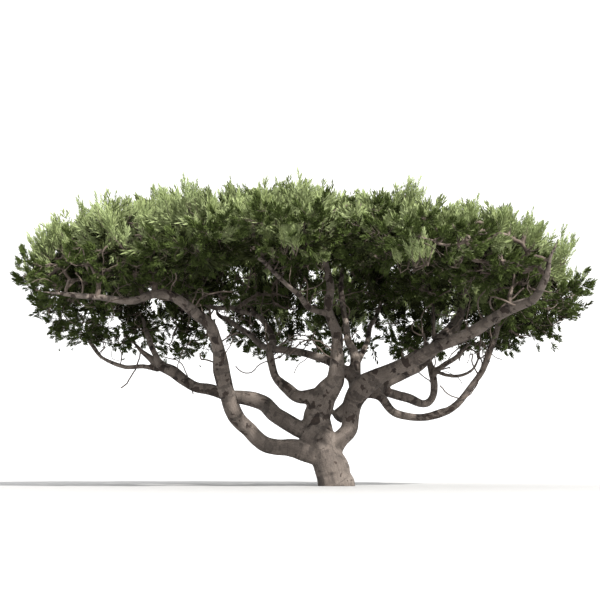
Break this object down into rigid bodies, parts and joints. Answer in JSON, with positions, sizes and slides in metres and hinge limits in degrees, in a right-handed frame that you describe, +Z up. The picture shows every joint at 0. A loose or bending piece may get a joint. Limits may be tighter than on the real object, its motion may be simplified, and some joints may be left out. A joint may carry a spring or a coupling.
{
  "type": "pine tree",
  "caption": "Low, wide umbrella pine: a short leaning trunk with crooked boughs arching out under a hollow, uneven crown of needles.",
  "frame": {"origin": "centre of the flat cut under the trunk, at ground level", "axes": "+Z up from the ground, +X along the crown's widest way, -Y the side where the crown slopes down furthest"},
  "size_m": [10.9974, 9.346, 5.7969],
  "materials": {
    "bark": "rough bark",
    "needles": "satin needles"
  },
  "bodies": {
    "root": {"bough_back_left": "bark", "bough_back_right": "bark", "bough_back_rise": "bark", "bough_front_left": "bark", "bough_left_inner_1": "bark", "bough_left_inner_2": "bark", "bough_left_low_1": "bark", "bough_left_low_2": "bark", "bough_left_mid": "bark", "bough_left_rise": "bark", "bough_left_tip": "bark", "bough_right_arc_1": "bark", "bough_right_arc_2": "bark", "bough_right_back": "bark", "bough_right_hook_1": "bark", "bough_right_hook_2": "bark", "bough_right_hook_tip": "bark", "bough_right_loop": "bark", "bough_right_rise": "bark", "needles_rim_01": "needles", "needles_rim_02": "needles", "needles_rim_03": "needles", "needles_rim_04": "needles", "needles_rim_05": "needles", "needles_rim_06": "needles", "needles_rim_07": "needles", "needles_rim_08": "needles", "needles_rim_09": "needles", "needles_rim_10": "needles", "needles_rim_11": "needles", "needles_rim_12": "needles", "needles_rim_13": "needles", "needles_rim_14": "needles", "needles_rim_15": "needles", "needles_shoulder_01": "needles", "needles_shoulder_02": "needles", "needles_shoulder_03": "needles", "needles_shoulder_04": "needles", "needles_shoulder_05": "needles", "needles_shoulder_06": "needles", "needles_shoulder_07": "needles", "needles_shoulder_08": "needles", "needles_shoulder_09": "needles", "needles_top_01": "needles", "needles_top_02": "needles", "needles_top_03": "needles", "needles_top_04": "needles", "stem_centre": "bark", "stem_right_1": "bark", "stem_right_2": "bark", "trunk": "bark"}
  },
  "joints": []
}
